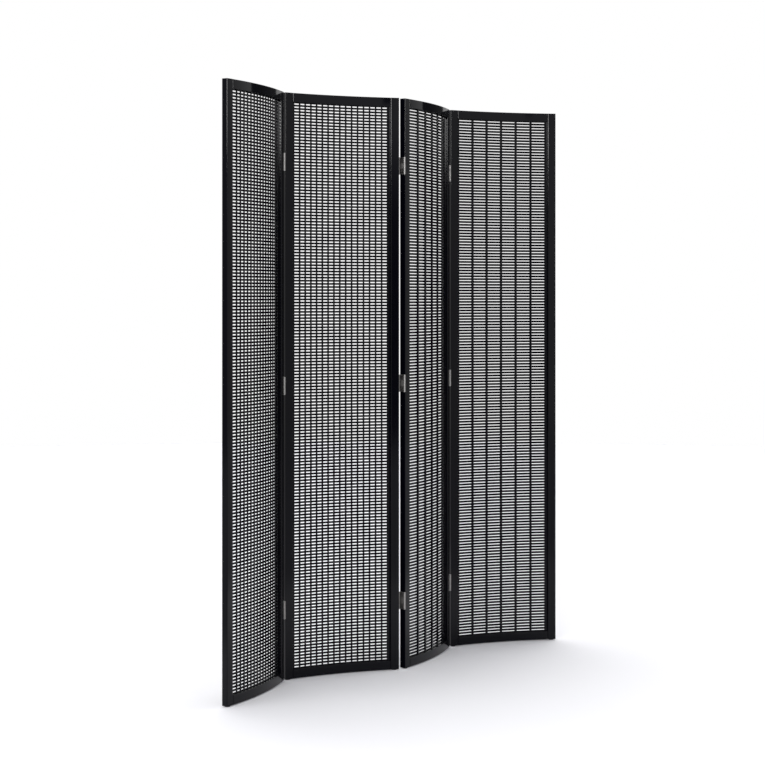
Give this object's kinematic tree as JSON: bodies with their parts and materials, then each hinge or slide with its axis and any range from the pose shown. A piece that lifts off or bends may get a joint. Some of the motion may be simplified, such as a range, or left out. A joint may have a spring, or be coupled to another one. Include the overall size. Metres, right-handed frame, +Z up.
{
  "type": "folding screen",
  "caption": "Free-standing folding room screen of curved lacquered wood panels with fine slatted lattice infill, joined by two-way pin hinges so it folds flat either way.",
  "frame": {"origin": "on the floor, at the middle of the screen's bounding box as it stands folded in the picture", "axes": "+X along the screen from the first panel to the last, -Y to its front, +Z up"},
  "size_m": [1.4838, 0.1896, 1.8],
  "materials": {
    "black_lacquer": "polished black lacquer",
    "black_lacquer_slat": "black lacquer",
    "bare_wood": "plain beech",
    "glide_plastic": "black plastic",
    "hinge_metal": "satin nickel",
    "pin_steel": "bright steel"
  },
  "bodies": {
    "panel_1": {"panel_1_left_stile": "black_lacquer", "panel_1_right_stile": "black_lacquer", "panel_1_top_rail": "black_lacquer", "panel_1_bottom_rail": "black_lacquer", "panel_1_slats": "black_lacquer_slat", "panel_1_strips": "black_lacquer_slat", "panel_1_dowels": "bare_wood", "panel_1_glides": "glide_plastic", "fold_1_2_left_leaves": "hinge_metal", "fold_1_2_left_screws": "pin_steel"},
    "panel_2": {"panel_2_left_stile": "black_lacquer", "panel_2_right_stile": "black_lacquer", "panel_2_top_rail": "black_lacquer", "panel_2_bottom_rail": "black_lacquer", "panel_2_slats": "black_lacquer_slat", "panel_2_strips": "black_lacquer_slat", "panel_2_dowels": "bare_wood", "panel_2_glides": "glide_plastic", "fold_1_2_right_leaves": "hinge_metal", "fold_1_2_right_screws": "pin_steel", "fold_2_3_left_leaves": "hinge_metal", "fold_2_3_left_screws": "pin_steel"},
    "panel_3": {"panel_3_left_stile": "black_lacquer", "panel_3_right_stile": "black_lacquer", "panel_3_top_rail": "black_lacquer", "panel_3_bottom_rail": "black_lacquer", "panel_3_slats": "black_lacquer_slat", "panel_3_strips": "black_lacquer_slat", "panel_3_dowels": "bare_wood", "panel_3_glides": "glide_plastic", "fold_2_3_right_leaves": "hinge_metal", "fold_2_3_right_screws": "pin_steel", "fold_3_4_left_leaves": "hinge_metal", "fold_3_4_left_screws": "pin_steel"},
    "panel_4": {"panel_4_left_stile": "black_lacquer", "panel_4_right_stile": "black_lacquer", "panel_4_top_rail": "black_lacquer", "panel_4_bottom_rail": "black_lacquer", "panel_4_slats": "black_lacquer_slat", "panel_4_strips": "black_lacquer_slat", "panel_4_dowels": "bare_wood", "panel_4_glides": "glide_plastic", "fold_3_4_right_leaves": "hinge_metal", "fold_3_4_right_screws": "pin_steel"},
    "fold_1_2_link": {"fold_1_2_links": "hinge_metal", "fold_1_2_pins": "pin_steel"},
    "fold_2_3_link": {"fold_2_3_links": "hinge_metal", "fold_2_3_pins": "pin_steel"},
    "fold_3_4_link": {"fold_3_4_links": "hinge_metal", "fold_3_4_pins": "pin_steel"}
  },
  "joints": [
    {"name": "fold_1_2_front_pin", "type": "hinge", "parent": "panel_2", "child": "fold_1_2_link", "pos_m": [-0.37432, 0.06603, 0.9], "axis": [0, 0, 1], "range_deg": [-44, 135]},
    {"name": "fold_1_2_back_pin", "type": "hinge", "parent": "fold_1_2_link", "child": "panel_1", "pos_m": [-0.3864, 0.08344, 0.9], "axis": [0, 0, 1], "range_deg": [-179, 0]},
    {"name": "fold_2_3_back_pin", "type": "hinge", "parent": "panel_2", "child": "fold_2_3_link", "pos_m": [0.00445, -0.05414, 0.9], "axis": [0, 0, 1], "range_deg": [-42.3, 136.7]},
    {"name": "fold_2_3_front_pin", "type": "hinge", "parent": "fold_2_3_link", "child": "panel_3", "pos_m": [0.00825, -0.07499, 0.9], "axis": [0, 0, 1], "range_deg": [-165, 0]},
    {"name": "fold_3_4_back_pin", "type": "hinge", "parent": "panel_3", "child": "fold_3_4_link", "pos_m": [0.36927, 0.09104, 0.9], "axis": [0, 0, -1], "range_deg": [-179, 0]},
    {"name": "fold_3_4_front_pin", "type": "hinge", "parent": "fold_3_4_link", "child": "panel_4", "pos_m": [0.38083, 0.07327, 0.9], "axis": [0, 0, -1], "range_deg": [-47.7, 131.3]}
  ]
}
